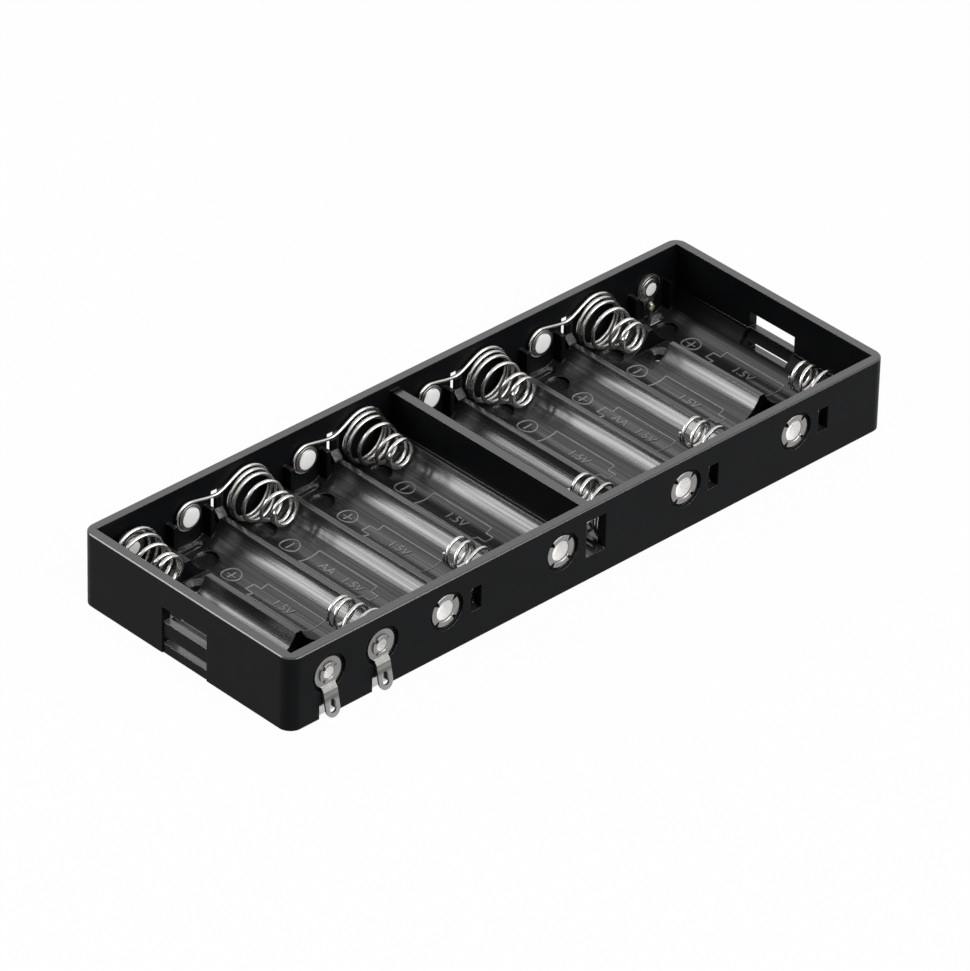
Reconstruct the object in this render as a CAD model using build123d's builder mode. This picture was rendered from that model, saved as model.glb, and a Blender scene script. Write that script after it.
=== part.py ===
from build123d import *
from math import cos, pi, radians, sin, sqrt
import os

os.makedirs("parts", exist_ok=True)

# The cell that the holder takes, and how many lie side by side in each of its two bays
cell_diameter = 14.5
cell_length = 50.5
cells_per_bay = 5

# Room left round the cells
cell_gap = 0.45
cell_end_room = 4.0
trough_clearance = 0.15
bay_side_play = 0.325

# Moulded housing
wall = 2.05
divider_thickness = 2.1
wall_over_axis = 6.9
divider_drop = 1.45
corner_radius = 2.8
rim_bevel = 0.25
floor_lift = 0.9
floor_shell = 1.2
ridge_drop = 2.8

# Pockets in the end ridges, with the countersunk holes of the mounting screws
pocket_length = 5.7
pocket_centre_y = 15.6
pocket_floor_rise = 0.3
pillar_margin = 1.2
screw_radius = 1.6
countersink_radius = 2.6

# Fins that keep a reversed cell off its contact, and posts on the ridges that carry the link wires
fin_offset = 4.75
fin_thickness = 1.0
fin_reach = 2.2
fin_over_axis = 0.25
post_width = 1.4
post_reach = 0.65
foot_width = 2.15
foot_reach = 2.1
foot_over_ridge = 1.5

# Openings in the walls and the floor
recess_radius = 4.2
recess_depth = 0.75
slot_half_width = 1.33
slot_below_axis = 3.05
slot_above_axis = 2.3
back_slot_extra_width = 0.6
back_slot_extra_height = 0.3
bridge_half_width = 2.55
bridge_below_axis = 4.2
bridge_above_axis = 3.95
bridge_reach = 3.5
window_half_length = 6.25
window_above_axis = 1.0
window_bar_top = 6.95
window_bar_bottom = 3.85
window_sill = 2.05
window_inset = 0.3
window_reach = 2.5
floor_slot_length = 6.2
floor_slot_width = 2.1
floor_slot_reach = 1.5
floor_slot_corner = 0.6
disc_radius = 2.5
disc_depth = 0.4
disc_reach = 5.6
disc_sides = 12
notch_width = 4.7
notch_height = 3.1

# Contact rivets: the broad ones clamp a wire loop, the slim ones also clamp a solder tag
fit_gap = 0.05
rivet_sides = 12
recess_sides = 16
broad_shank_radius = 2.4
slim_shank_radius = 1.55
rivet_skin = 0.3
broad_crimp_radius = 3.5
slim_crimp_radius = 2.25
crimp_thickness = 0.45
crimp_slit = 0.35
head_radius = 2.75
head_rim = 0.25
button_radius = 2.3
button_rise = 0.4

# Contact springs
wire_radius = 0.4
loop_radius = 2.95
coil_room = 2.0
tip_coil_radius = 3.0
open_turns = 3
tip_turns = 1.3
tip_pitch = 2.2
first_open_pitch = 0.4
open_pitch_growth = 0.72
coil_sag = 1.2
facets_per_turn = 7
loop_facets = 10
wire_sides = 5
link_hook_offset = 6.3
link_hook_rise = 1.6
link_rise_offset = 6.4
link_rise = 2.0
link_coil_start = 118
end_spring_offset = 1.6

# Solder tags, beads and the jumper wire under the floor
tag_thickness = 0.45
tag_ring_radius = 3.3
tag_neck_width = 3.45
tag_bend_top = 2.6
tag_bend_height = 1.15
tag_bend_reach = 0.8
tag_tip_reach = 1.97
tag_tip_height = 0.3
tag_eye_radius = 0.8
tag_eye_length = 1.2
inner_ring_radius = 3.0
inner_neck_width = 1.8
bead_radius = 0.9
bead_height = 2.0
low_bead_height = 1.0
jumper_radius = 0.5
jumper_lift = 0.25
jumper_bend = 1.9
jumper_sides = 8

# Sizes that follow from the ones above
front = -1
back = 1
cell_count = 2 * cells_per_bay
cell_pitch = cell_diameter + cell_gap
trough_radius = cell_diameter / 2 + trough_clearance
shell_radius = trough_radius + floor_shell
base_coil_radius = trough_radius - coil_room
axis_height = floor_lift + shell_radius
floor_height = axis_height - trough_radius
ridge_height = axis_height - ridge_drop
inner_width = cell_length + cell_end_room
bay_width = cells_per_bay * cell_pitch + 2 * bay_side_play
bay_centre = (divider_thickness + bay_width) / 2
housing_length = 2 * bay_width + divider_thickness + 2 * wall
housing_width = inner_width + 2 * wall
housing_height = axis_height + wall_over_axis
first_cell = divider_thickness / 2 + bay_side_play + cell_pitch / 2
bay_cells = [first_cell + place * cell_pitch for place in range(cells_per_bay)]
cell_xs = [-x for x in reversed(bay_cells)] + bay_cells
wall_left = wall - recess_depth
wire_reach = wire_radius + fit_gap
under_loop = 2 * wire_reach
inner_tag_reach = tag_thickness + fit_gap
jumper_reach = inner_tag_reach + fit_gap + jumper_radius
jumper_height = jumper_lift + jumper_radius
end_rivet_x = cell_xs[1] - end_spring_offset


def positive_side(number):
    """Wall that carries a cell's positive contact: the front for odd cells, the back for even ones"""
    return front if number % 2 else back


def side_name(side):
    return "front" if side == front else "back"


def bay_y(side, reach):
    """Place across the holder that lies a given reach inside a long wall's inner face"""
    return side * (inner_width / 2 - reach)


def wall_plane(side, reach=0):
    """Plane along a long wall, a given reach inside its inner face, with Z as its second axis"""
    return Plane.XZ.offset(-bay_y(side, reach))


def trough_height(radius, offset):
    """Height of a trough's surface, of a given radius, at an offset from the cell's axis"""
    return axis_height - sqrt(radius**2 - offset**2)


# Rivets by wall: the x of each, whether it is slim, and the cell that it serves
broad_rivets = [(number, positive_side(number)) for number in range(2, cell_count)]
slim_rivets = [(1, front), (cell_count, back), (1, back), (2, front)]
slim_rivet_x = {
    (1, front): cell_xs[0],
    (cell_count, back): cell_xs[-1],
    (1, back): cell_xs[0],
    (2, front): end_rivet_x,
}

# Housing
pocket_floor = floor_height + pocket_floor_rise
pocket_half_width = cell_pitch / 2 - sqrt(trough_radius**2 - (axis_height - pocket_floor) ** 2)
screw_x = (cell_xs[-1] + cell_xs[-2]) / 2
fin_root = trough_height((trough_radius + shell_radius) / 2, fin_offset)
fin_top = axis_height + fin_over_axis
foot_edge = trough_height(trough_radius, (cell_pitch - foot_width) / 2)
ridge_underside = trough_height(shell_radius, cell_pitch / 2)
post_root = (foot_edge + ridge_underside) / 2
post_top = axis_height + link_hook_rise - wire_reach
foot_top = ridge_height + foot_over_ridge
end_face = housing_length / 2

with BuildPart() as housing:
    # Outer block with its rounded corners and a small bevel round the rim
    with BuildSketch():
        RectangleRounded(housing_length, housing_width, corner_radius)
    extrude(amount=housing_height)
    chamfer(housing.edges().group_by(Axis.Z)[-1], rim_bevel)

    # Hollow under the floor, which leaves a shell of even thickness under each trough
    with BuildSketch(Plane.XZ):
        with Locations((-bay_centre, 0), (bay_centre, 0)):
            Rectangle(bay_width, 2 * axis_height)
        with Locations(*[(x, axis_height) for x in cell_xs]):
            Circle(shell_radius, mode=Mode.SUBTRACT)
        with Locations((0, axis_height)):
            Rectangle(housing_length, 2 * ridge_drop, mode=Mode.SUBTRACT)
    extrude(amount=inner_width / 2, both=True, mode=Mode.SUBTRACT)

    # Solid pillars under the screw pockets
    with GridLocations(2 * screw_x, 2 * pocket_centre_y, 2, 2):
        Box(
            2 * (pocket_half_width + pillar_margin),
            pocket_length + 2 * pillar_margin,
            ridge_height,
            align=(Align.CENTER, Align.CENTER, Align.MIN),
        )

    # Bays with a trough for each cell
    with BuildSketch(Plane.XZ):
        with Locations((-bay_centre, ridge_height), (bay_centre, ridge_height)):
            Rectangle(bay_width, housing_height, align=(Align.CENTER, Align.MIN))
        with Locations(*[(x, axis_height) for x in cell_xs]):
            Circle(trough_radius)
    extrude(amount=inner_width / 2, both=True, mode=Mode.SUBTRACT)

    # Divider lower than the rim
    with BuildSketch(Plane.XY.offset(housing_height)):
        Rectangle(divider_thickness, inner_width)
    extrude(amount=-divider_drop, mode=Mode.SUBTRACT)

    # Screw pockets through the end ridges, with countersunk holes
    with BuildSketch(Plane.XY.offset(pocket_floor)):
        with GridLocations(2 * screw_x, 2 * pocket_centre_y, 2, 2):
            Rectangle(2 * pocket_half_width + trough_clearance, pocket_length)
    extrude(amount=axis_height - pocket_floor, mode=Mode.SUBTRACT)
    with Locations(Plane.XY.offset(pocket_floor)):
        with GridLocations(2 * screw_x, 2 * pocket_centre_y, 2, 2):
            CounterSinkHole(screw_radius, countersink_radius, counter_sink_angle=90)

    # Fins on both sides of each positive contact
    for number, x in enumerate(cell_xs, 1):
        side = positive_side(number)
        for offset in (-fin_offset, fin_offset):
            with BuildSketch(Plane.YZ.offset(x + offset - fin_thickness / 2)):
                with BuildLine():
                    Polyline(
                        (bay_y(side, -wall / 2), fin_root),
                        (bay_y(side, fin_reach), fin_root),
                        (bay_y(side, fin_reach), fin_top),
                        (bay_y(side, -wall / 2), fin_top),
                        close=True,
                    )
                make_face()
            extrude(amount=fin_thickness)

    # Post on the ridge under each link wire, with a sloping foot
    for number, side in broad_rivets:
        if number == cells_per_bay:
            continue
        x = cell_xs[number - 1] + cell_pitch / 2
        with BuildSketch(Plane.YZ.offset(x - post_width / 2)):
            with BuildLine():
                Polyline(
                    (bay_y(side, -wall / 2), post_root),
                    (bay_y(side, post_reach), post_root),
                    (bay_y(side, post_reach), post_top),
                    (bay_y(side, -wall / 2), post_top),
                    close=True,
                )
            make_face()
        extrude(amount=post_width)
        with BuildSketch(Plane.YZ.offset(x - foot_width / 2)):
            with BuildLine():
                Polyline(
                    (bay_y(side, -wall / 2), post_root),
                    (bay_y(side, foot_reach), post_root),
                    (bay_y(side, foot_reach), ridge_height),
                    (bay_y(side, post_reach), foot_top),
                    (bay_y(side, -wall / 2), foot_top),
                    close=True,
                )
            make_face()
        extrude(amount=foot_width)

    # Rivet holes, each with a round recess outside
    for side in (front, back):
        broad_xs = [cell_xs[number - 1] for number, wall_side in broad_rivets if wall_side == side]
        slim_xs = [slim_rivet_x[key] for key in slim_rivets if key[1] == side]
        with BuildSketch(wall_plane(side)):
            with Locations(*[(x, axis_height) for x in broad_xs]):
                RegularPolygon(broad_shank_radius + fit_gap, rivet_sides)
            with Locations(*[(x, axis_height) for x in slim_xs]):
                RegularPolygon(slim_shank_radius + fit_gap, rivet_sides)
        extrude(amount=-side * wall, mode=Mode.SUBTRACT)
        with BuildSketch(wall_plane(side, -wall_left)):
            with Locations(*[(x, axis_height) for x in broad_xs + slim_xs]):
                RegularPolygon(recess_radius, recess_sides)
        extrude(amount=-side * wall, mode=Mode.SUBTRACT)

    # Slots in the long walls where link wires pass from one cell to the next
    for number, side in broad_rivets:
        if number == cells_per_bay:
            continue
        left = cell_xs[number - 1] + cell_pitch / 2 - slot_half_width
        width = 2 * slot_half_width
        height = slot_below_axis + slot_above_axis
        if side == back:
            width += back_slot_extra_width
            height += back_slot_extra_height
        with BuildSketch(wall_plane(side)):
            with Locations((left, axis_height - slot_below_axis)):
                Rectangle(width, height, align=(Align.MIN, Align.MIN))
        extrude(amount=-side * wall, mode=Mode.SUBTRACT)

    # Wide slot and divider window for the link wire between the two bays
    bridge_side = positive_side(cells_per_bay)
    bridge_bottom = axis_height - bridge_below_axis
    with BuildSketch(wall_plane(bridge_side)):
        with Locations((0, bridge_bottom)):
            Rectangle(
                2 * bridge_half_width,
                bridge_below_axis + bridge_above_axis,
                align=(Align.CENTER, Align.MIN),
            )
    extrude(amount=-bridge_side * wall, mode=Mode.SUBTRACT)
    with BuildSketch(wall_plane(bridge_side)):
        with Locations((0, bridge_bottom)):
            Rectangle(
                divider_thickness,
                bridge_below_axis + bridge_above_axis,
                align=(Align.CENTER, Align.MIN),
            )
    extrude(amount=bridge_side * bridge_reach, mode=Mode.SUBTRACT)

    # Slots through the floor in front of the positive contacts and at the jumper's first end
    with BuildSketch(Plane.XY) as slots:
        for number, x in enumerate(cell_xs, 1):
            with Locations((x, bay_y(positive_side(number), floor_slot_reach))):
                Rectangle(floor_slot_length, floor_slot_width)
        with Locations((cell_xs[0], bay_y(back, floor_slot_reach))):
            Rectangle(floor_slot_length, floor_slot_width)
        chamfer(slots.vertices(), floor_slot_corner)
    extrude(amount=floor_height + floor_shell, mode=Mode.SUBTRACT)

    # Shallow round marks in the floor near both ends of each trough
    with BuildSketch(Plane.XY.offset(floor_height - disc_depth)):
        for x in cell_xs:
            with Locations((x, bay_y(front, disc_reach)), (x, bay_y(back, disc_reach))):
                RegularPolygon(disc_radius, disc_sides)
    extrude(amount=2 * disc_depth, mode=Mode.SUBTRACT)

    # Groove for the jumper wire along the underside and through the divider's foot
    with BuildSketch(Plane.YZ):
        with Locations((bay_y(back, jumper_reach), jumper_height)):
            Circle(jumper_radius + fit_gap)
            Rectangle(
                2 * (jumper_radius + fit_gap),
                axis_height,
                align=(Align.CENTER, Align.MAX),
            )
    extrude(amount=cell_xs[-1], both=True, mode=Mode.SUBTRACT)

    # Windows in the end walls, each crossed by a bar, with the trough's flank cut back beside them
    for end in (-1, 1):
        with BuildSketch(Plane.YZ.offset(end * (end_face - window_inset))):
            with Locations((0, 0)):
                Rectangle(
                    2 * window_half_length,
                    axis_height + window_above_axis,
                    align=(Align.CENTER, Align.MIN),
                )
        extrude(amount=end * window_inset, mode=Mode.SUBTRACT)
        with BuildSketch(Plane.YZ.offset(end * end_face)):
            with Locations((0, window_bar_top)):
                Rectangle(
                    2 * window_half_length,
                    axis_height + window_above_axis - window_bar_top,
                    align=(Align.CENTER, Align.MIN),
                )
            with Locations((0, window_sill)):
                Rectangle(
                    2 * window_half_length,
                    window_bar_bottom - window_sill,
                    align=(Align.CENTER, Align.MIN),
                )
        extrude(amount=-end * wall, mode=Mode.SUBTRACT)
        with BuildSketch(Plane.YZ.offset(end * (end_face - wall))):
            with Locations((0, window_sill)):
                Rectangle(
                    2 * window_half_length,
                    axis_height + window_above_axis - window_sill,
                    align=(Align.CENTER, Align.MIN),
                )
        extrude(amount=-end * window_reach, mode=Mode.SUBTRACT)

    # Notches in the front wall's lower edge behind the output tags
    with BuildSketch(wall_plane(front)):
        with Locations((cell_xs[0], 0), (end_rivet_x, 0)):
            Rectangle(notch_width, notch_height, align=(Align.CENTER, Align.MIN))
    extrude(amount=wall, mode=Mode.SUBTRACT)

housing.part.label = "housing"
export_step(housing.part, "parts/housing.step")


def contact_rivet(x, side, slim, under_head, outside):
    """Hollow rivet through a long wall: a button head inside the bay and a split crimp in the recess"""
    shank = slim_shank_radius if slim else broad_shank_radius
    crimp = slim_crimp_radius if slim else broad_crimp_radius
    hollow = shank - rivet_skin
    crimp_back = -wall_left - outside
    crimp_face = crimp_back - crimp_thickness
    head_top = under_head + head_rim
    button_top = head_top + button_rise
    layers = [
        (crimp, crimp_face, crimp_back),
        (shank, crimp_back, under_head),
        (head_radius, under_head, head_top),
    ]
    with BuildPart() as rivet:
        for radius, start, end in layers:
            with BuildSketch(wall_plane(side, start)):
                with Locations((x, axis_height)):
                    RegularPolygon(radius, rivet_sides)
            extrude(amount=side * (end - start))
        for radius, reach in ((button_radius, head_top), (button_radius - button_rise, button_top)):
            with BuildSketch(wall_plane(side, reach)):
                with Locations((x, axis_height)):
                    RegularPolygon(radius, rivet_sides)
        loft()
        # Hollow shank, open on the outside
        with BuildSketch(wall_plane(side, crimp_face)):
            with Locations((x, axis_height)):
                RegularPolygon(hollow, rivet_sides)
        extrude(amount=side * (head_top - crimp_face), mode=Mode.SUBTRACT)
        # Slits that let the crimp spread into four petals
        with BuildSketch(wall_plane(side, crimp_face)):
            with Locations((x, axis_height)):
                with PolarLocations(crimp, 4, start_angle=45):
                    Polygon(
                        (hollow - crimp + rivet_skin, 0),
                        (crimp_slit, -crimp_slit),
                        (crimp_slit, crimp_slit),
                        align=None,
                    )
        extrude(amount=side * crimp_thickness, mode=Mode.SUBTRACT)
    return rivet


rivet_list = []
for number, side in broad_rivets:
    rivet_list.append((number, side, contact_rivet(cell_xs[number - 1], side, False, under_loop, 0)))
tagged_loop = under_loop + inner_tag_reach
rivet_list.append((1, front, contact_rivet(cell_xs[0], front, True, fit_gap, tag_thickness)))
rivet_list.append((2, front, contact_rivet(end_rivet_x, front, True, under_loop, tag_thickness)))
rivet_list.append((1, back, contact_rivet(cell_xs[0], back, True, tagged_loop, 0)))
rivet_list.append((cell_count, back, contact_rivet(cell_xs[-1], back, True, inner_tag_reach, 0)))
for number, side, rivet in rivet_list:
    name = f"rivet_{side_name(side)}_{number}"
    rivet.part.label = name
    export_step(rivet.part, f"parts/{name}.step")


def wire_point(x, side, reach, height):
    return (x, bay_y(side, reach), height)


def coil_points(x, side, start_angle, start_reach, closed_turns):
    """Corners of a tapering coil: closed turns at the wall, open turns, then an even tip"""
    points = []
    tapered_turns = closed_turns + open_turns
    for step in range(round((tapered_turns + tip_turns) * facets_per_turn) + 1):
        turn = step / facets_per_turn
        closed = min(turn, closed_turns)
        opened = min(turn - closed, open_turns)
        tip = turn - closed - opened
        reach = start_reach + closed * (under_loop + fit_gap) + tip * tip_pitch
        reach += opened * (first_open_pitch + open_pitch_growth * opened)
        taper = min(turn / tapered_turns, 1)
        radius = base_coil_radius - (base_coil_radius - tip_coil_radius) * taper**3
        height = axis_height - coil_sag * sin(pi * (0.13 + 0.87 * taper))
        angle = start_angle - 2 * pi * turn
        points.append(
            wire_point(x + radius * cos(angle), side, reach, height + radius * sin(angle))
        )
    return points


def loop_points(x, side, reach, first_angle, last_angle):
    """Corners of the wire's loop round a rivet, turning clockwise as the bay sees it"""
    points = []
    for step in range(loop_facets + 1):
        angle = radians(first_angle + (last_angle - first_angle) * step / loop_facets)
        points.append(
            wire_point(
                x + loop_radius * cos(angle), side, reach, axis_height + loop_radius * sin(angle)
            )
        )
    return points


def bent_wire(points):
    """Round wire, with a few flat sides, along a bent route"""
    with BuildPart() as spring:
        with BuildLine() as route:
            Polyline(*points)
        with BuildSketch(Plane(origin=route.line @ 0, z_dir=route.line % 0)):
            RegularPolygon(wire_radius, wire_sides)
        sweep(path=route.line, transition=Transition.RIGHT)
    return spring


def linked_spring(number, side):
    """Spring whose wire runs on along the wall and loops round the rivet of the cell before it"""
    rivet_x = cell_xs[number - 2]
    x = cell_xs[number - 1]
    points = loop_points(rivet_x, side, wire_reach, 20, -282)
    points.append(
        wire_point(rivet_x + link_hook_offset, side, wire_reach, axis_height + link_hook_rise)
    )
    points.append(wire_point(x - link_rise_offset, side, wire_reach, axis_height + link_rise))
    points += coil_points(x, side, radians(link_coil_start), wire_reach, 1)
    return bent_wire(points)


def end_spring(number, side, rivet_x, reach):
    """Spring whose wire ends in an eye under its own rivet and widens into the open turns"""
    x = cell_xs[number - 1]
    points = loop_points(rivet_x, side, reach, 0, -260)
    coil = coil_points(x, side, radians(-90), reach + under_loop, 0)
    rising_steps = 3
    for step in range(1, rising_steps + 1):
        share = step / (rising_steps + 1)
        angle = radians(-260 - 190 * share)
        radius = loop_radius + (base_coil_radius - loop_radius) * share
        centre = rivet_x + (x - rivet_x) * share
        sag = coil_sag * sin(pi * 0.13) * share
        points.append(
            wire_point(
                centre + radius * cos(angle),
                side,
                reach + under_loop * share,
                axis_height - sag + radius * sin(angle),
            )
        )
    return bent_wire(points + coil)


spring_list = [
    (1, back, end_spring(1, back, cell_xs[0], wire_reach + inner_tag_reach)),
    (2, front, end_spring(2, front, end_rivet_x, wire_reach)),
]
for number in range(3, cell_count + 1):
    side = -positive_side(number)
    spring_list.append((number, side, linked_spring(number, side)))
for number, side, spring in spring_list:
    name = f"spring_{side_name(side)}_{number}"
    spring.part.label = name
    export_step(spring.part, f"parts/{name}.step")


def output_tag(x):
    """Bent strip outside the front wall: a ring in the rivet's recess and a leaning leg with an eye"""
    ring_face = bay_y(front, -wall_left)
    bend_face = ring_face - tag_bend_reach
    tip_face = ring_face - tag_tip_reach
    bend_top = axis_height - tag_bend_top
    bend_bottom = bend_top - tag_bend_height
    tip_radius = tag_neck_width / 2
    with BuildPart() as tag:
        with BuildSketch(Plane.YZ.offset(x)):
            with BuildLine():
                Polyline(
                    (ring_face, axis_height + tag_ring_radius),
                    (ring_face, bend_top),
                    (bend_face, bend_bottom),
                    (tip_face, tag_tip_height),
                    (tip_face - tag_thickness, tag_tip_height),
                    (bend_face - tag_thickness, bend_bottom),
                    (ring_face - tag_thickness, bend_top),
                    (ring_face - tag_thickness, axis_height + tag_ring_radius),
                    close=True,
                )
            make_face()
        extrude(amount=tag_ring_radius, both=True)
        with BuildSketch(Plane.XZ):
            with Locations((x, axis_height)):
                Circle(tag_ring_radius)
                Circle(slim_shank_radius + fit_gap, mode=Mode.SUBTRACT)
            with Locations((x, tag_tip_height + tip_radius)):
                Circle(tip_radius)
                Rectangle(
                    tag_neck_width,
                    axis_height - tag_ring_radius / 2 - tip_radius - slim_shank_radius,
                    align=(Align.CENTER, Align.MIN),
                )
            with Locations((x, tag_tip_height + tip_radius + tag_eye_length / 2)):
                SlotCenterToCenter(tag_eye_length, 2 * tag_eye_radius, 90, mode=Mode.SUBTRACT)
        extrude(amount=housing_width, mode=Mode.INTERSECT)
    return tag


for number, x in ((1, cell_xs[0]), (2, end_rivet_x)):
    tag = output_tag(x)
    name = f"tag_front_{number}"
    tag.part.label = name
    export_step(tag.part, f"parts/{name}.step")


def inner_tag(x, tip_height):
    """Flat tag on the back wall's inner face: a ring under the rivet and a tapering neck"""
    with BuildPart() as tag:
        with BuildSketch(wall_plane(back, inner_tag_reach)):
            with Locations((x, axis_height)):
                Circle(inner_ring_radius)
            with BuildLine():
                Polyline(
                    (x - inner_neck_width, axis_height - slim_shank_radius),
                    (x - inner_neck_width / 2, tip_height),
                    (x + inner_neck_width / 2, tip_height),
                    (x + inner_neck_width, axis_height - slim_shank_radius),
                    close=True,
                )
            make_face()
            with Locations((x, axis_height)):
                Circle(slim_shank_radius + fit_gap, mode=Mode.SUBTRACT)
        extrude(amount=-tag_thickness)
    return tag


def solder_bead(x, bottom, height):
    """Rounded lump against an inner tag, with the jumper's end inside it"""
    centre_y = bay_y(back, jumper_reach)
    with BuildPart() as bead:
        with BuildSketch(Plane.XZ.offset(-centre_y)):
            with BuildLine():
                Polyline(
                    (x, bottom),
                    (x, bottom + height),
                    (x + bead_radius / 2, bottom + height),
                    (x + bead_radius, bottom + 0.6 * height),
                    (x + bead_radius, bottom + 0.4 * height),
                    (x + jumper_radius + fit_gap, bottom),
                    close=True,
                )
            make_face()
        revolve(axis=Axis((x, centre_y, 0), (0, 0, 1)))
        with BuildSketch(Plane.XY.offset(bottom)):
            with Locations((x, centre_y)):
                Circle(jumper_radius + fit_gap)
        extrude(amount=0.8 * height, mode=Mode.SUBTRACT)
        with BuildSketch(wall_plane(back, inner_tag_reach)):
            with Locations((x, bottom + height / 2)):
                Rectangle(4 * bead_radius, 2 * height)
        extrude(amount=-wall, mode=Mode.SUBTRACT)
    return bead


low_tip = trough_height(trough_radius, inner_neck_width / 2) + fit_gap
high_tip = ridge_height - bead_height
for number, x, tip, height in (
    (1, cell_xs[0], low_tip, low_bead_height),
    (cell_count, cell_xs[-1], high_tip, bead_height),
):
    tag = inner_tag(x, tip)
    tag.part.label = f"tag_back_{number}"
    export_step(tag.part, f"parts/tag_back_{number}.step")
    bead = solder_bead(x, tip + fit_gap, height)
    bead.part.label = f"solder_back_{number}"
    export_step(bead.part, f"parts/solder_back_{number}.step")

# Jumper wire: down through one floor slot, along its groove and up through the other
jumper_y = bay_y(back, jumper_reach)
with BuildPart() as jumper_wire:
    with BuildLine() as route:
        FilletPolyline(
            (cell_xs[0], jumper_y, low_tip + 0.7 * low_bead_height),
            (cell_xs[0], jumper_y, jumper_height),
            (cell_xs[-1], jumper_y, jumper_height),
            (cell_xs[-1], jumper_y, high_tip + 0.7 * bead_height),
            radius=jumper_bend,
        )
    with BuildSketch(Plane(origin=route.line @ 0, z_dir=route.line % 0)):
        RegularPolygon(jumper_radius, jumper_sides)
    sweep(path=route.line)
jumper_wire.part.label = "jumper_wire"
export_step(jumper_wire.part, "parts/jumper_wire.step")
print("Jumper bend radius", jumper_bend)
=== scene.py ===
from math import cos, pi, radians, sin

import bmesh
import bpy
from mathutils import Matrix, Vector

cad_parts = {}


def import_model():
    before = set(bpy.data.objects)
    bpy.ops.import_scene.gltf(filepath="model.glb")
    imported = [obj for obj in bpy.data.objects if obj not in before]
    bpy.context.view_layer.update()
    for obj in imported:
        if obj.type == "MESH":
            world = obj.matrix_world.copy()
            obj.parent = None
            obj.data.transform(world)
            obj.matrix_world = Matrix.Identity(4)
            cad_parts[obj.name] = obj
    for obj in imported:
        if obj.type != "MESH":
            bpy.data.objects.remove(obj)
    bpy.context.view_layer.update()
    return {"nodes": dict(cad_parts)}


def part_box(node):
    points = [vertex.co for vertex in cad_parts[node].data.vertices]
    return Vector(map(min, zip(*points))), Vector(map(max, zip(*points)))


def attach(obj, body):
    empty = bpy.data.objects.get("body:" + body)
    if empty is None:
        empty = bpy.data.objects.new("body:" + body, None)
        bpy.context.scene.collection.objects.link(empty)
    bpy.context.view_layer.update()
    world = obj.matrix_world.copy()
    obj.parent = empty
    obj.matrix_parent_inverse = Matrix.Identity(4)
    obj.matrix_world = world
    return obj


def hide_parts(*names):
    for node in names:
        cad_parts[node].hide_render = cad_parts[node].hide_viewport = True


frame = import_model()
mm = 0.001

# Sizes of the tray, in metres, from the frame and from its few driving dimensions
tray_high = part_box("housing")[1]
wall = 2.05 * mm
cell_pitch = 14.95 * mm
first_cell = 8.85 * mm
cells_per_bay = 5
axis_height = 9.5 * mm
trough_radius = 7.4 * mm
recess_depth = 0.75 * mm
inner_half = tray_high.y - wall
wall_left = wall - recess_depth
end_rivet_shift = 1.6 * mm

front = -1
back = 1
bay_cells = [first_cell + place * cell_pitch for place in range(cells_per_bay)]
cell_xs = [-x for x in reversed(bay_cells)] + bay_cells
cell_count = len(cell_xs)


def positive_side(number):
    """Wall with a cell's positive contact: the front for odd cells, the back for even ones"""
    return front if number % 2 else back


def side_name(side):
    return "front" if side == front else "back"


def bay_point(x, side, reach, height):
    """Point a given reach inside the inner face of a long wall"""
    return Vector((x, side * (inner_half - reach), height))


# Material helpers


def new_material(name):
    material = bpy.data.materials.new(name)
    material.use_nodes = True
    return material, material.node_tree.nodes, material.node_tree.links


def put(links, value, target):
    """Links a socket to a target, or sets the target to a plain value"""
    if isinstance(value, bpy.types.NodeSocket):
        links.new(value, target)
    else:
        target.default_value = value


def calculate(nodes, links, operation, first, second=0.0):
    """Result of a math node on two sockets or numbers"""
    node = nodes.new("ShaderNodeMath")
    node.operation = operation
    put(links, first, node.inputs[0])
    put(links, second, node.inputs[1])
    return node.outputs["Value"]


def product(nodes, links, *values):
    """Product of any number of sockets"""
    result = values[0]
    for value in values[1:]:
        result = calculate(nodes, links, "MULTIPLY", result, value)
    return result


def axes(nodes, links, output="Object"):
    """X, Y and Z of a texture coordinate: the place on the object, or its normal"""
    place = nodes.new("ShaderNodeTexCoord")
    split = nodes.new("ShaderNodeSeparateXYZ")
    links.new(place.outputs[output], split.inputs["Vector"])
    return split.outputs


def surface_noise(nodes, links, scale, stretch=(1, 1, 1), detail=4.0):
    """Noise fixed to the object, at a scale per metre, optionally stretched along an axis"""
    place = nodes.new("ShaderNodeTexCoord")
    mapping = nodes.new("ShaderNodeMapping")
    mapping.inputs["Scale"].default_value = stretch
    noise = nodes.new("ShaderNodeTexNoise")
    noise.inputs["Scale"].default_value = scale
    noise.inputs["Detail"].default_value = detail
    links.new(place.outputs["Object"], mapping.inputs["Vector"])
    links.new(mapping.outputs["Vector"], noise.inputs["Vector"])
    return noise.outputs["Fac"]


def spread(nodes, links, value, low, high, from_low=0.3, from_high=0.7):
    """Maps a value to a range; the default range that it comes from suits a noise"""
    ranged = nodes.new("ShaderNodeMapRange")
    ranged.inputs["From Min"].default_value = from_low
    ranged.inputs["From Max"].default_value = from_high
    ranged.inputs["To Min"].default_value = low
    ranged.inputs["To Max"].default_value = high
    links.new(value, ranged.inputs["Value"])
    return ranged.outputs["Result"]


def past(nodes, links, value, start, full):
    """0 up to a start, rising to 1 where the value is full"""
    return spread(nodes, links, value, 0, 1, start, full)


def before(nodes, links, value, full, end):
    """1 up to a value, falling to 0 at an end"""
    return spread(nodes, links, value, 1, 0, full, end)


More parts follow.
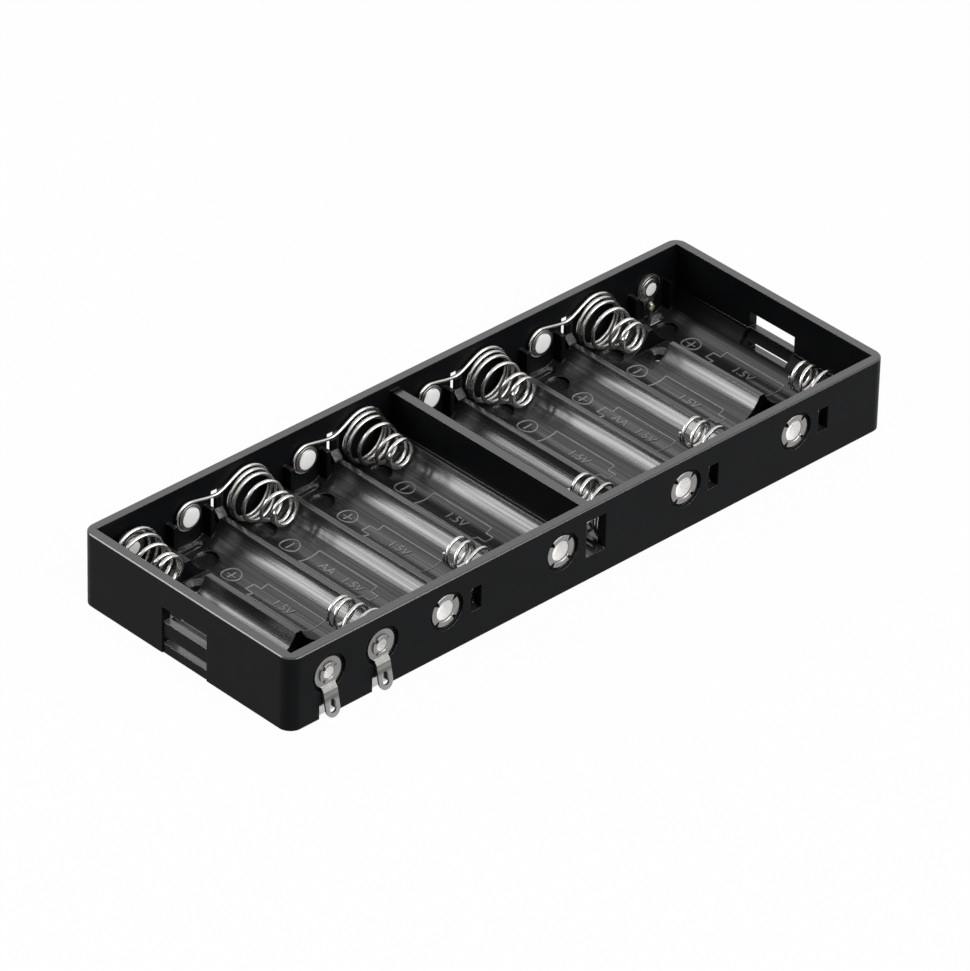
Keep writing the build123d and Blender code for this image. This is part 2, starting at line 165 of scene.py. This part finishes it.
def tint(nodes, links, value, dark, light, blend_type="MIX"):
    """Colour that runs from dark to light with a value; each of the three may be a socket"""
    mix = nodes.new("ShaderNodeMix")
    mix.data_type = "RGBA"
    mix.blend_type = blend_type
    put(links, value, mix.inputs["Factor"])
    for colour, side in ((dark, "A"), (light, "B")):
        plain = isinstance(colour, tuple)
        put(links, (*colour, 1) if plain else colour, mix.inputs[side])
    return mix.outputs["Result"]


def bump(nodes, links, height, distance, strength=1.0, normal=None):
    node = nodes.new("ShaderNodeBump")
    node.inputs["Distance"].default_value = distance
    node.inputs["Strength"].default_value = strength
    links.new(height, node.inputs["Height"])
    if normal is not None:
        links.new(normal, node.inputs["Normal"])
    return node.outputs["Normal"]


def rounded_edges(nodes, radius):
    """Normal that softens the sharp edges of a moulding"""
    bevel = nodes.new("ShaderNodeBevel")
    bevel.samples = 6
    bevel.inputs["Radius"].default_value = radius
    return bevel.outputs["Normal"]


# Housing plastic: where its troughs, slots, rim and first flank begin and end
rim_start = 14.2 * mm
rim_full = 14.6 * mm
trough_end = (72.4 * mm, 73.6 * mm)
end_window = (76.35 * mm, 76.45 * mm)
slot_top = (2.5 * mm, 2.8 * mm)
slot_half_length = (3.6 * mm, 3.8 * mm)
slot_inner_edge = (23.4 * mm, 23.6 * mm)
slot_outer_edge = (27.4 * mm, 27.6 * mm)
# X range of the first trough's flank that gets a painted highlight
painted_highlight_flank = (-74 * mm, -71 * mm)
upward_normal = (0.1, 0.5)
rising_normal = (0.02, 0.12)
edge_radius = 0.28 * mm


def slot_share(nodes, links, spot):
    """1 on the sides of the floor slots, on the cell axes beside the long walls"""
    along = calculate(nodes, links, "ABSOLUTE", spot["X"])
    from_first = calculate(nodes, links, "SUBTRACT", along, first_cell)
    from_axis = calculate(nodes, links, "PINGPONG", from_first, cell_pitch / 2)
    across = calculate(nodes, links, "ABSOLUTE", spot["Y"])
    return product(
        nodes,
        links,
        before(nodes, links, spot["Z"], *slot_top),
        before(nodes, links, from_axis, *slot_half_length),
        past(nodes, links, across, *slot_inner_edge),
        before(nodes, links, across, *slot_outer_edge),
    )


def polish_shares(nodes, links, spot, facing):
    """Shares of the polished troughs, with their floor slots, and of the smooth rim"""
    upward = past(nodes, links, facing["Z"], *upward_normal)
    inside = calculate(
        nodes,
        links,
        "MAXIMUM",
        before(nodes, links, spot["X"], *trough_end),
        past(nodes, links, spot["X"], *end_window),
    )
    below = before(nodes, links, spot["Z"], rim_start, rim_full)
    rim = past(nodes, links, spot["Z"], rim_start, rim_full)
    trough = product(nodes, links, inside, below, upward)
    polished = calculate(nodes, links, "MAXIMUM", trough, slot_share(nodes, links, spot))
    return polished, product(nodes, links, rim, upward)


def housing_tone_with_painted_sheen(nodes, links, polished, spot, facing):
    """Near black on the walls; lighter in the troughs by painted sheen, and lightest on the flank of
    the first one by a painted highlight
    """
    mottle = surface_noise(nodes, links, 90)
    wall_tone = tint(nodes, links, mottle, (0.0025, 0.0028, 0.0032), (0.0045, 0.0049, 0.0055))
    # lighter tone in the troughs: painted sheen
    floor_painted_sheen_tone = tint(nodes, links, mottle, (0.014, 0.0142, 0.015), (0.02, 0.0203, 0.0212))
    tone = tint(nodes, links, polished, wall_tone, floor_painted_sheen_tone)
    # lightest tone on the first trough's flank: painted highlight
    flank_painted_highlight = product(
        nodes,
        links,
        before(nodes, links, spot["Z"], rim_start, rim_full),
        past(nodes, links, facing["Z"], *rising_normal),
        before(nodes, links, spot["X"], *painted_highlight_flank),
    )
    return tint(nodes, links, flank_painted_highlight, tone, (0.1, 0.101, 0.104))


def moulded_plastic():
    """Black moulded plastic: dull smooth walls, and polished troughs with a drawn grain"""
    material, nodes, links = new_material("housing_plastic")
    shader = nodes["Principled BSDF"]
    spot = axes(nodes, links)
    facing = axes(nodes, links, "Normal")
    polished, rim = polish_shares(nodes, links, spot, facing)
    # base colour with painted sheen in the troughs and a painted highlight on the first flank
    links.new(housing_tone_with_painted_sheen(nodes, links, polished, spot, facing), shader.inputs["Base Color"])
    shader.inputs["Specular IOR Level"].default_value = 0.05
    links.new(
        spread(nodes, links, surface_noise(nodes, links, 240), 0.34, 0.42),
        shader.inputs["Roughness"],
    )
    drawn = surface_noise(nodes, links, 2600, stretch=(1, 0.01, 1), detail=2)
    worn = spread(nodes, links, drawn, 0.6, 1.0, 0.4, 0.6)
    coat = calculate(nodes, links, "ADD", product(nodes, links, polished, worn), rim)
    links.new(coat, shader.inputs["Coat Weight"])
    shader.inputs["Coat Roughness"].default_value = 0.2
    shader.inputs["Coat IOR"].default_value = 1.75
    grain = surface_noise(nodes, links, 1300, stretch=(1, 0.02, 1), detail=6)
    skin = surface_noise(nodes, links, 2600, detail=3)
    normal = rounded_edges(nodes, edge_radius)
    normal = bump(nodes, links, skin, 0.003 * mm, 0.5, normal)
    normal = bump(nodes, links, product(nodes, links, grain, polished), 0.05 * mm, 0.6, normal)
    links.new(normal, shader.inputs["Normal"])
    links.new(normal, shader.inputs["Coat Normal"])
    return material


def marking_plastic():
    """The same plastic on the raised marks, smoother, and paler by a painted highlight"""
    material, nodes, links = new_material("marking_plastic")
    shader = nodes["Principled BSDF"]
    shader.inputs["Specular IOR Level"].default_value = 0.4
    mottle = surface_noise(nodes, links, 700)
    # pale base colour: painted highlight on the raised marks
    links.new(
        tint(nodes, links, mottle, (0.26, 0.26, 0.265), (0.36, 0.36, 0.365)),
        shader.inputs["Base Color"],
    )
    links.new(
        spread(nodes, links, surface_noise(nodes, links, 1500), 0.22, 0.32),
        shader.inputs["Roughness"],
    )
    links.new(rounded_edges(nodes, 0.05 * mm), shader.inputs["Normal"])
    return material


def plated_metal(name, dark, light, rough_low, rough_high, grain_scale, grain_depth):
    """Plated metal with cloudy tone, uneven polish and a fine grain"""
    material, nodes, links = new_material(name)
    shader = nodes["Principled BSDF"]
    shader.inputs["Metallic"].default_value = 1.0
    links.new(
        tint(nodes, links, surface_noise(nodes, links, 420), dark, light),
        shader.inputs["Base Color"],
    )
    links.new(
        spread(nodes, links, surface_noise(nodes, links, 900), rough_low, rough_high),
        shader.inputs["Roughness"],
    )
    grain = surface_noise(nodes, links, grain_scale, detail=5)
    links.new(bump(nodes, links, grain, grain_depth, 0.5), shader.inputs["Normal"])
    return material


def spring_plate():
    return plated_metal(
        "spring_wire", (0.5, 0.49, 0.475), (0.7, 0.69, 0.67), 0.16, 0.28, 2500, 0.01 * mm
    )


def rivet_plate():
    return plated_metal(
        "contact_metal", (0.2, 0.197, 0.19), (0.33, 0.325, 0.315), 0.24, 0.4, 1800, 0.02 * mm
    )


def button_plate():
    """Pale plate on the rivets' buttons, only faintly mirror-like"""
    material = plated_metal(
        "button_metal", (0.84, 0.83, 0.82), (0.95, 0.94, 0.93), 0.3, 0.42, 1600, 0.02 * mm
    )
    material.node_tree.nodes["Principled BSDF"].inputs["Metallic"].default_value = 0.1
    return material


# Painted shade on the tags: (share of the scale, tone) pairs that darken the plate by height
painted_shade_scale = 10 * mm
tag_painted_shades = ((0.34, 0.95), (0.43, 0.42), (0.5, 0.8), (0.57, 0.6), (0.68, 0.62), (0.72, 1.0))


def tag_plate():
    """Dull plate darkened in bands by painted shade that varies with height, at shares of the shade
    scale above the ground
    """
    material = plated_metal(
        "tag_metal", (0.22, 0.218, 0.21), (0.3, 0.298, 0.287), 0.4, 0.52, 2200, 0.02 * mm
    )
    nodes = material.node_tree.nodes
    links = material.node_tree.links
    colour = nodes["Principled BSDF"].inputs["Base Color"]
    plain = colour.links[0].from_socket
    ramp = nodes.new("ShaderNodeValToRGB")
    stops = ramp.color_ramp.elements
    stops[0].position, stops[1].position = tag_painted_shades[0][0], tag_painted_shades[-1][0]
    for position, tone in tag_painted_shades[1:-1]:
        stops.new(position)
    for stop, (position, tone) in zip(stops, tag_painted_shades):
        stop.color = (tone, tone, tone, 1)
    height = past(nodes, links, axes(nodes, links)["Z"], 0, painted_shade_scale)
    links.new(height, ramp.inputs["Fac"])
    # the plate's colour multiplied by the painted shade
    links.new(tint(nodes, links, 1, plain, ramp.outputs["Color"], "MULTIPLY"), colour)
    return material


def solder_alloy():
    return plated_metal(
        "solder", (0.42, 0.35, 0.24), (0.66, 0.62, 0.55), 0.2, 0.42, 1300, 0.05 * mm
    )


def wire_insulation():
    """Black insulation with the slight waviness of an extruded lead"""
    material, nodes, links = new_material("wire_insulation")
    shader = nodes["Principled BSDF"]
    mottle = surface_noise(nodes, links, 300)
    links.new(
        tint(nodes, links, mottle, (0.01, 0.01, 0.01), (0.022, 0.022, 0.022)),
        shader.inputs["Base Color"],
    )
    links.new(
        spread(nodes, links, surface_noise(nodes, links, 1200), 0.3, 0.45), shader.inputs["Roughness"]
    )
    wave = surface_noise(nodes, links, 500, detail=2)
    links.new(bump(nodes, links, wave, 0.02 * mm, 0.4), shader.inputs["Normal"])
    return material


housing_plastic = moulded_plastic()
mark_plastic = marking_plastic()
spring_metal = spring_plate()
rivet_metal = rivet_plate()
button_metal = button_plate()
tag_metal = tag_plate()
solder_metal = solder_alloy()
jumper_insulation = wire_insulation()


def dress_node(name, material):
    """Gives a frame node a better material in every slot"""
    for slot in frame["nodes"][name].material_slots:
        slot.material = material


dress_node("housing", housing_plastic)
dress_node("jumper_wire", jumper_insulation)
for name in ("tag_front_1", "tag_front_2", "tag_back_1", f"tag_back_{cell_count}"):
    dress_node(name, tag_metal)


# Mesh helpers


def finished_object(name, mesh, material, body="root"):
    piece = bpy.data.objects.new(name, mesh)
    bpy.context.scene.collection.objects.link(piece)
    piece.data.materials.clear()
    piece.data.materials.append(material)
    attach(piece, body)
    return piece


def smooth_by_angle(mesh, limit):
    """Smooth shading that keeps edges sharper than a limit"""
    for face in mesh.polygons:
        face.use_smooth = True
    mesh.set_sharp_from_angle(angle=limit)


# Springs: the route of the CAD wire, with smooth turns and a last turn that closes
wire_radius = 0.4 * mm
wire_reach = 0.45 * mm
inner_tag_reach = 0.5 * mm
under_loop = 2 * wire_reach
loop_radius = 2.95 * mm
base_coil_radius = 5.4 * mm
tip_coil_radius = 3.0 * mm
open_turns = 3
tip_turns = 1.9
tip_pitch = 2.2 * mm
last_pitch = 0.4 * mm
first_open_pitch = 0.4 * mm
open_pitch_growth = 0.72 * mm
closed_pitch = under_loop + 0.05 * mm
coil_sag = 1.2 * mm
link_hook_offset = 6.3 * mm
link_hook_rise = 1.6 * mm
link_rise_offset = 6.4 * mm
link_rise = 2.0 * mm
link_coil_start = radians(118)
link_loop_start = 20
link_loop_end = -282
end_loop_end = -260
end_coil_start = -450
rising_steps = 7
sag_start = 0.13
steps_per_turn = 16


def coil_points(x, side, start_angle, start_reach, closed_turns):
    """Control points of a tapering coil: closed turns at the wall, open turns, then its tip"""
    points = []
    tapered_turns = closed_turns + open_turns
    for step in range(round((tapered_turns + tip_turns) * steps_per_turn) + 1):
        turn = step / steps_per_turn
        closed = min(turn, closed_turns)
        opened = min(turn - closed, open_turns)
        tip = turn - closed - opened
        reach = start_reach + closed * closed_pitch
        reach += min(tip, 1) * tip_pitch + max(tip - 1, 0) * last_pitch
        reach += opened * (first_open_pitch + open_pitch_growth * opened)
        taper = min(turn / tapered_turns, 1)
        radius = base_coil_radius - (base_coil_radius - tip_coil_radius) * taper**3
        height = axis_height - coil_sag * sin(pi * (sag_start + (1 - sag_start) * taper))
        angle = start_angle - 2 * pi * turn
        points.append(
            bay_point(x + radius * cos(angle), side, reach, height + radius * sin(angle))
        )
    return points


def loop_points(x, side, reach, first_angle, last_angle):
    """Control points of the loop round a rivet, clockwise as the bay sees it"""
    points = []
    steps = round(abs(last_angle - first_angle) * steps_per_turn / 360)
    for step in range(steps + 1):
        angle = radians(first_angle + (last_angle - first_angle) * step / steps)
        points.append(
            bay_point(
                x + loop_radius * cos(angle), side, reach, axis_height + loop_radius * sin(angle)
            )
        )
    return points


def linked_route(number, side):
    """Route of a spring whose wire runs on along the wall to the rivet of the cell before it"""
    rivet_x = cell_xs[number - 2]
    x = cell_xs[number - 1]
    points = loop_points(rivet_x, side, wire_reach, link_loop_start, link_loop_end)
    points.append(
        bay_point(rivet_x + link_hook_offset, side, wire_reach, axis_height + link_hook_rise)
    )
    points.append(bay_point(x - link_rise_offset, side, wire_reach, axis_height + link_rise))
    return points + coil_points(x, side, link_coil_start, wire_reach, 1)


def end_route(number, side, rivet_x, reach):
    """Route of a spring whose wire ends in an eye under its own rivet"""
    x = cell_xs[number - 1]
    points = loop_points(rivet_x, side, reach, 0, end_loop_end)
    for step in range(1, rising_steps + 1):
        share = step / (rising_steps + 1)
        angle = radians(end_loop_end + (end_coil_start - end_loop_end) * share)
        radius = loop_radius + (base_coil_radius - loop_radius) * share
        centre = rivet_x + (x - rivet_x) * share
        height = axis_height - coil_sag * sin(pi * sag_start) * share
        points.append(
            bay_point(
                centre + radius * cos(angle),
                side,
                reach + under_loop * share,
                height + radius * sin(angle),
            )
        )
    return points + coil_points(x, side, radians(end_coil_start + 360), reach + under_loop, 0)


def bent_wire(name, points):
    """Round wire that follows its control points as one smooth curve"""
    curve = bpy.data.curves.new(name, "CURVE")
    curve.dimensions = "3D"
    curve.bevel_depth = wire_radius
    curve.bevel_resolution = 4
    curve.use_fill_caps = True
    spline = curve.splines.new("NURBS")
    spline.points.add(len(points) - 1)
    for target, point in zip(spline.points, points):
        target.co = (*point, 1)
    spline.order_u = 3
    spline.use_endpoint_u = True
    spline.resolution_u = 4
    return finished_object(name, curve, spring_metal)


end_rivet_x = cell_xs[1] - end_rivet_shift
routes = {
    (1, back): end_route(1, back, cell_xs[0], wire_reach + inner_tag_reach),
    (2, front): end_route(2, front, end_rivet_x, wire_reach),
}
for number in range(3, cell_count + 1):
    side = -positive_side(number)
    routes[number, side] = linked_route(number, side)
for (number, side), points in routes.items():
    node = f"spring_{side_name(side)}_{number}"
    spring = bent_wire(f"{node}_wire", points)
    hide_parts(node)


# Rivets: a turned hollow body with a domed button inside the bay and a split crimp outside
broad_shank = 2.4 * mm
slim_shank = 1.55 * mm
rivet_skin = 0.3 * mm
head_radius = 2.75 * mm
head_rim = 0.25 * mm
button_radius = 2.3 * mm
button_rise = 0.4 * mm
broad_crimp = 3.5 * mm
slim_crimp = 2.25 * mm
crimp_thickness = 0.45 * mm
lip_share = 0.16
roll_share = 0.3
slit_width = 0.42 * mm
slit_depth = 0.75
slit_steepness = 2.2
rivet_segments = 96


def arc_profile(centre, radius_x, radius_y, first, last, steps):
    """Points of an elliptic arc in a profile of radius against reach"""
    points = []
    for step in range(steps + 1):
        angle = radians(first + (last - first) * step / steps)
        points.append((centre[0] + radius_x * cos(angle), centre[1] + radius_y * sin(angle)))
    return points


def rivet_profile(slim, under_head, outside):
    """Section of a rivet from the button's centre round to the bottom of its hollow"""
    shank = slim_shank if slim else broad_shank
    crimp = slim_crimp if slim else broad_crimp
    hollow = shank - rivet_skin
    crimp_back = -wall_left - outside
    head_top = under_head + head_rim
    rim = head_rim / 2
    points = [(0, head_top + button_rise)]
    points += arc_profile((0, head_top), button_radius, button_rise, 88, 0, 10)
    points += arc_profile((head_radius - rim, head_top - rim), rim, rim, 90, -90, 6)
    points += [(shank, under_head), (shank, crimp_back)]
    lip = (crimp - shank) * lip_share
    points += arc_profile(
        (crimp - lip, crimp_back - crimp_thickness / 2), lip, crimp_thickness / 2, 90, -90, 6
    )
    roll = (crimp - hollow) * roll_share
    points += arc_profile(
        (hollow + roll, crimp_back - crimp_thickness + roll), roll, roll, -90, -180, 5
    )
    points += [(hollow, head_top - rivet_skin), (hollow * 0.8, head_top - rivet_skin / 2)]
    points.append((0, head_top - rivet_skin / 2))
    return points, hollow, crimp, crimp_back


def slit_share(angle, radius, hollow, crimp):
    """How far a crimp point is drawn back, from 0 to 1, by the nearest of the four slits"""
    turned = (angle - pi / 4) % (pi / 2)
    across = min(turned, pi / 2 - turned) * radius
    opening = slit_width * (radius - hollow) / (crimp - hollow)
    return max(0.0, 1 - across / opening) if opening > 0 else 0.0


def rivet_piece(name, x, side, slim, under_head, outside):
    profile, hollow, crimp, crimp_back = rivet_profile(slim, under_head, outside)
    form = bmesh.new()
    rings = []
    for radius, reach in profile:
        if radius < 0.01 * mm:
            rings.append([form.verts.new(bay_point(x, side, reach, axis_height))])
            continue
        ring = []
        for segment in range(rivet_segments):
            angle = 2 * pi * segment / rivet_segments
            drawn = radius
            if reach <= crimp_back and radius > hollow:
                cut = slit_share(angle, radius, hollow, crimp)
                drawn = radius - (radius - hollow) * slit_depth * min(1, slit_steepness * cut)
            height = axis_height + drawn * sin(angle)
            point = bay_point(x + drawn * cos(angle), side, reach, height)
            ring.append(form.verts.new(point))
        rings.append(ring)
    for inner, outer in zip(rings, rings[1:]):
        for segment in range(rivet_segments):
            follow = (segment + 1) % rivet_segments
            if len(inner) == 1:
                form.faces.new((inner[0], outer[segment], outer[follow]))
            elif len(outer) == 1:
                form.faces.new((inner[segment], outer[0], inner[follow]))
            else:
                form.faces.new((inner[segment], outer[segment], outer[follow], inner[follow]))
    bmesh.ops.recalc_face_normals(form, faces=form.faces)
    mesh = bpy.data.meshes.new(name)
    form.to_mesh(mesh)
    form.free()
    smooth_by_angle(mesh, radians(40))
    rivet = finished_object(name, mesh, rivet_metal)
    mesh.materials.append(button_metal)
    centre = bay_point(x, side, 0, axis_height)
    for face in mesh.polygons:
        offset = face.center - centre
        if Vector((offset.x, offset.z)).length < min(button_radius, hollow):
            face.material_index = 1
    return rivet


tag_thickness = 0.45 * mm
rivets = [
    (number, positive_side(number), cell_xs[number - 1], False, under_loop, 0.0)
    for number in range(2, cell_count)
]
rivets += [
    (1, front, cell_xs[0], True, 0.05 * mm, tag_thickness),
    (2, front, end_rivet_x, True, under_loop, tag_thickness),
    (1, back, cell_xs[0], True, under_loop + inner_tag_reach, 0.0),
    (cell_count, back, cell_xs[-1], True, inner_tag_reach, 0.0),
]
for number, side, x, slim, under_head, outside in rivets:
    node = f"rivet_{side_name(side)}_{number}"
    rivet = rivet_piece(f"{node}_turned", x, side, slim, under_head, outside)
    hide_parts(node)


# Solder beads: lumps that sag from their tag round the lead
lump_fill = 0.94
droop_share = 0.18


def solder_lump(name, node):
    low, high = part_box(node)
    centre = (low + high) / 2
    half = (high - low) / 2
    form = bmesh.new()
    bmesh.ops.create_icosphere(form, subdivisions=4, radius=1.0)
    for vertex in form.verts:
        direction = vertex.co.normalized()
        swell = 1 + 0.05 * sin(5 * direction.z + 3 * direction.x) + 0.04 * sin(7 * direction.y)
        droop = 1 - droop_share * direction.z
        stretch = Vector((half.x * droop, half.y * droop, half.z))
        vertex.co = centre + Vector(
            tuple(direction[i] * stretch[i] * swell * lump_fill for i in range(3))
        )
        vertex.co.y = min(vertex.co.y, high.y)
    mesh = bpy.data.meshes.new(name)
    form.to_mesh(mesh)
    form.free()
    smooth_by_angle(mesh, radians(60))
    lump = finished_object(name, mesh, solder_metal)
    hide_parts(node)


for number in (1, cell_count):
    solder_lump(f"solder_lump_{number}", f"solder_back_{number}")


# Raised marks on the trough floors: a cell's outline, its signs and its voltage
mark_width = 0.3 * mm
mark_height = 0.14 * mm
outline_half = 2.75 * mm
body_low = -9.0 * mm
body_high = 7.2 * mm
nub_half = 1.1 * mm
nub_high = 9.3 * mm
sign_place = 14.5 * mm
sign_radius = 2.0 * mm
sign_arm = 1.15 * mm
text_height = 2.1 * mm
capital_share = 0.72
text_thinning = -0.02 * mm
longest_edge = 0.5 * mm
sunk_share = 0.3


def on_trough(x, across, along, rise):
    """Point on a trough's surface, from its arc length across and its place along the cell"""
    angle = across / trough_radius
    radius = trough_radius - rise
    return Vector((x + radius * sin(angle), along, axis_height - radius * cos(angle)))


def add_rib(form, x, path):
    """Low rib with a rounded top along a path of (across, along) points"""
    samples = []
    for start, end in zip(path, path[1:]):
        start, end = Vector(start), Vector(end)
        steps = max(1, round((end - start).length / longest_edge))
        samples += [start.lerp(end, step / steps) for step in range(steps)]
    samples.append(Vector(path[-1]))
    section = (
        (-0.5, -sunk_share), (-0.42, 0.55), (-0.2, 0.95), (0.2, 0.95), (0.42, 0.55), (0.5, -sunk_share)
    )
    rows = []
    for place, point in enumerate(samples):
        ahead = samples[min(place + 1, len(samples) - 1)] - samples[max(place - 1, 0)]
        normal = Vector((-ahead.y, ahead.x)).normalized()
        row = []
        for offset, rise in section:
            spot = point + normal * offset * mark_width
            row.append(form.verts.new(on_trough(x, spot.x, spot.y, rise * mark_height)))
        rows.append(row)
    for first, second in zip(rows, rows[1:]):
        for place in range(len(section) - 1):
            form.faces.new((first[place], first[place + 1], second[place + 1], second[place]))
    form.faces.new(rows[0])
    form.faces.new(rows[-1])


def ring_path(centre_y, radius):
    steps = 28
    return [
        (radius * cos(2 * pi * step / steps), centre_y + radius * sin(2 * pi * step / steps))
        for step in range(steps + 1)
    ]


def add_text(form, x, words, centre_y, height):
    """Raised words along the trough, which read towards the front"""
    curve = bpy.data.curves.new("words", "FONT")
    curve.body = words
    curve.size = height / capital_share
    curve.align_x = "CENTER"
    curve.align_y = "CENTER"
    curve.offset = text_thinning
    holder = bpy.data.objects.new("words", curve)
    bpy.context.scene.collection.objects.link(holder)
    bpy.context.view_layer.update()
    drawn = holder.evaluated_get(bpy.context.evaluated_depsgraph_get())
    flat = bpy.data.meshes.new_from_object(drawn)
    bpy.data.objects.remove(holder)
    letters = bmesh.new()
    letters.from_mesh(flat)
    bpy.data.meshes.remove(flat)
    long_edges = [edge for edge in letters.edges if edge.calc_length() > longest_edge]
    bmesh.ops.subdivide_edges(letters, edges=long_edges, cuts=2)
    sides = bmesh.ops.extrude_face_region(letters, geom=letters.faces)
    lifted = {v for v in sides["geom"] if isinstance(v, bmesh.types.BMVert)}
    copies = {}
    for vertex in letters.verts:
        rise = mark_height if vertex in lifted else -sunk_share * mark_height
        copies[vertex] = form.verts.new(on_trough(x, vertex.co.y, centre_y - vertex.co.x, rise))
    for face in letters.faces:
        form.faces.new([copies[v] for v in face.verts])
    letters.free()


def trough_marks(number):
    """All the marks of one cell, with the nub of its outline towards the positive contact"""
    x = cell_xs[number - 1]
    way = positive_side(number)
    form = bmesh.new()
    outline = [
        (-nub_half, nub_high), (nub_half, nub_high), (nub_half, body_high),
        (outline_half, body_high), (outline_half, body_low), (-outline_half, body_low),
        (-outline_half, body_high), (-nub_half, body_high), (-nub_half, nub_high),
    ]
    for start, end in zip(outline, outline[1:]):
        add_rib(form, x, [(start[0], way * start[1]), (end[0], way * end[1])])
    for place in (-sign_place, sign_place):
        add_rib(form, x, ring_path(place, sign_radius))
        add_rib(form, x, [(-sign_arm, place), (sign_arm, place)])
    add_rib(form, x, [(0, way * sign_place - sign_arm), (0, way * sign_place + sign_arm)])
    words = "AA   1.5V" if number in (3, 8) else "1.5V"
    add_text(form, x, words, 0, text_height)
    bmesh.ops.recalc_face_normals(form, faces=form.faces)
    mesh = bpy.data.meshes.new(f"trough_marks_{number}")
    form.to_mesh(mesh)
    form.free()
    smooth_by_angle(mesh, radians(35))
    marks = finished_object(f"trough_marks_{number}", mesh, mark_plastic)


for number in range(1, cell_count + 1):
    trough_marks(number)


# Ground, world and lamps
glow_share = 0.97
# share of the glow left under the tray: painted shadow
glow_in_painted_shadow = 0.35
world_light = 0.35


def seen_directly(nodes, links):
    """1 for rays from the camera and from mirror-like reflections, 0 for diffuse light"""
    path = nodes.new("ShaderNodeLightPath")
    seen = path.outputs["Is Camera Ray"]
    for ray in ("Is Glossy Ray", "Is Transmission Ray"):
        seen = calculate(nodes, links, "MAXIMUM", seen, path.outputs[ray])
    return seen


def painted_tray_shadow(nodes, links):
    """A low share on the ground under the tray, 1 round it: a painted shadow under the tray"""
    spot = axes(nodes, links)
    shares = []
    for axis, half in (("X", tray_high.x), ("Y", tray_high.y)):
        distance = calculate(nodes, links, "ABSOLUTE", spot[axis])
        edge = (half - 1.2 * mm, half - 0.8 * mm)
        shares.append(spread(nodes, links, distance, glow_in_painted_shadow, 1, *edge))
    return calculate(nodes, links, "MAXIMUM", *shares)


def white_ground():
    """Pale ground that the camera and metal see as white, with a soft shadow left on it, and for the
    camera a painted shadow under the tray
    """
    material, nodes, links = new_material("white_ground")
    shader = nodes["Principled BSDF"]
    shader.inputs["Base Color"].default_value = (0.86, 0.86, 0.86, 1)
    shader.inputs["Roughness"].default_value = 0.9
    shader.inputs["Specular IOR Level"].default_value = 0.1
    glow = nodes.new("ShaderNodeEmission")
    glow.inputs["Color"].default_value = (1, 1, 1, 1)
    glow.inputs["Strength"].default_value = 1.0
    path = nodes.new("ShaderNodeLightPath")
    # the glow, lowered under the tray by the painted shadow except in mirror-like reflections
    lit = calculate(
        nodes, links, "MAXIMUM", painted_tray_shadow(nodes, links), path.outputs["Is Glossy Ray"]
    )
    share = calculate(nodes, links, "MULTIPLY", seen_directly(nodes, links), glow_share)
    blend = nodes.new("ShaderNodeMixShader")
    links.new(product(nodes, links, share, lit), blend.inputs["Fac"])
    links.new(shader.outputs["BSDF"], blend.inputs[1])
    links.new(glow.outputs["Emission"], blend.inputs[2])
    links.new(blend.outputs["Shader"], nodes["Material Output"].inputs["Surface"])
    return material


ground_mesh = bpy.data.meshes.new("ground")
ground_half = 4.0
ground_drop = -0.02 * mm
ground_mesh.from_pydata(
    [(-ground_half, -ground_half, 0), (ground_half, -ground_half, 0),
     (ground_half, ground_half, 0), (-ground_half, ground_half, 0)],
    [],
    [(0, 1, 2, 3)],
)
ground = bpy.data.objects.new("ground", ground_mesh)
ground.location.z = ground_drop
ground_mesh.materials.append(white_ground())
bpy.context.scene.collection.objects.link(ground)

world = bpy.data.worlds.new("studio")
bpy.context.scene.world = world
world.use_nodes = True
world_nodes = world.node_tree.nodes
world_links = world.node_tree.links
sky = world_nodes["Background"]
level = world_nodes.new("ShaderNodeMapRange")
level.inputs["To Min"].default_value = world_light
level.inputs["To Max"].default_value = 1.0
sky.inputs["Color"].default_value = (1, 1, 1, 1)
world_links.new(seen_directly(world_nodes, world_links), level.inputs["Value"])
world_links.new(level.outputs["Result"], sky.inputs["Strength"])


def softbox(name, direction, distance, width, height, radiance):
    """Rectangular lamp of a given radiance that faces the tray from a direction"""
    lamp = bpy.data.lights.new(name, "AREA")
    lamp.shape = "RECTANGLE"
    lamp.size = width
    lamp.size_y = height
    lamp.energy = radiance * pi * width * height
    holder = bpy.data.objects.new(name, lamp)
    holder.location = Vector(direction).normalized() * distance
    holder.rotation_mode = "QUATERNION"
    holder.rotation_quaternion = holder.location.to_track_quat("Z", "Y")
    bpy.context.scene.collection.objects.link(holder)
    return holder


softbox("left_strip", (-0.663, 0.597, 0.45), distance=1.0, width=0.56, height=0.5, radiance=6.2)
softbox("right_panel", (0.579, 0.597, 0.5555), distance=1.2, width=1.0, height=0.5, radiance=0.25)
softbox("front_key", (0.25, -1.0, 0.5), distance=1.5, width=1.2, height=0.8, radiance=6.5)


# Camera at the place from which the photograph was taken
photo_long_side = 971
focal_pixels = 8256.06
camera_roll = radians(1.48)
camera_azimuth = radians(-44.108)
camera_elevation = radians(33.742)
camera_place = Vector((-919.57, -947.3, 887.94)) * mm

across = Vector((cos(camera_azimuth), sin(camera_azimuth), 0))
away = Vector((
    sin(camera_azimuth) * cos(camera_elevation),
    -cos(camera_azimuth) * cos(camera_elevation),
    sin(camera_elevation),
))
upward = away.cross(across)
rolled_across = across * cos(camera_roll) + upward * sin(camera_roll)
rolled_upward = upward * cos(camera_roll) - across * sin(camera_roll)
camera_data = bpy.data.cameras.new("camera")
camera_data.sensor_width = 36
camera_data.lens = focal_pixels / photo_long_side * camera_data.sensor_width
camera_data.clip_start = 0.05
camera_data.clip_end = 20
camera = bpy.data.objects.new("camera", camera_data)
camera.matrix_world = Matrix.Translation(camera_place) @ Matrix(
    (rolled_across, rolled_upward, away)
).transposed().to_4x4()
bpy.context.scene.collection.objects.link(camera)
bpy.context.scene.camera = camera
bpy.context.scene.view_settings.view_transform = "Standard"
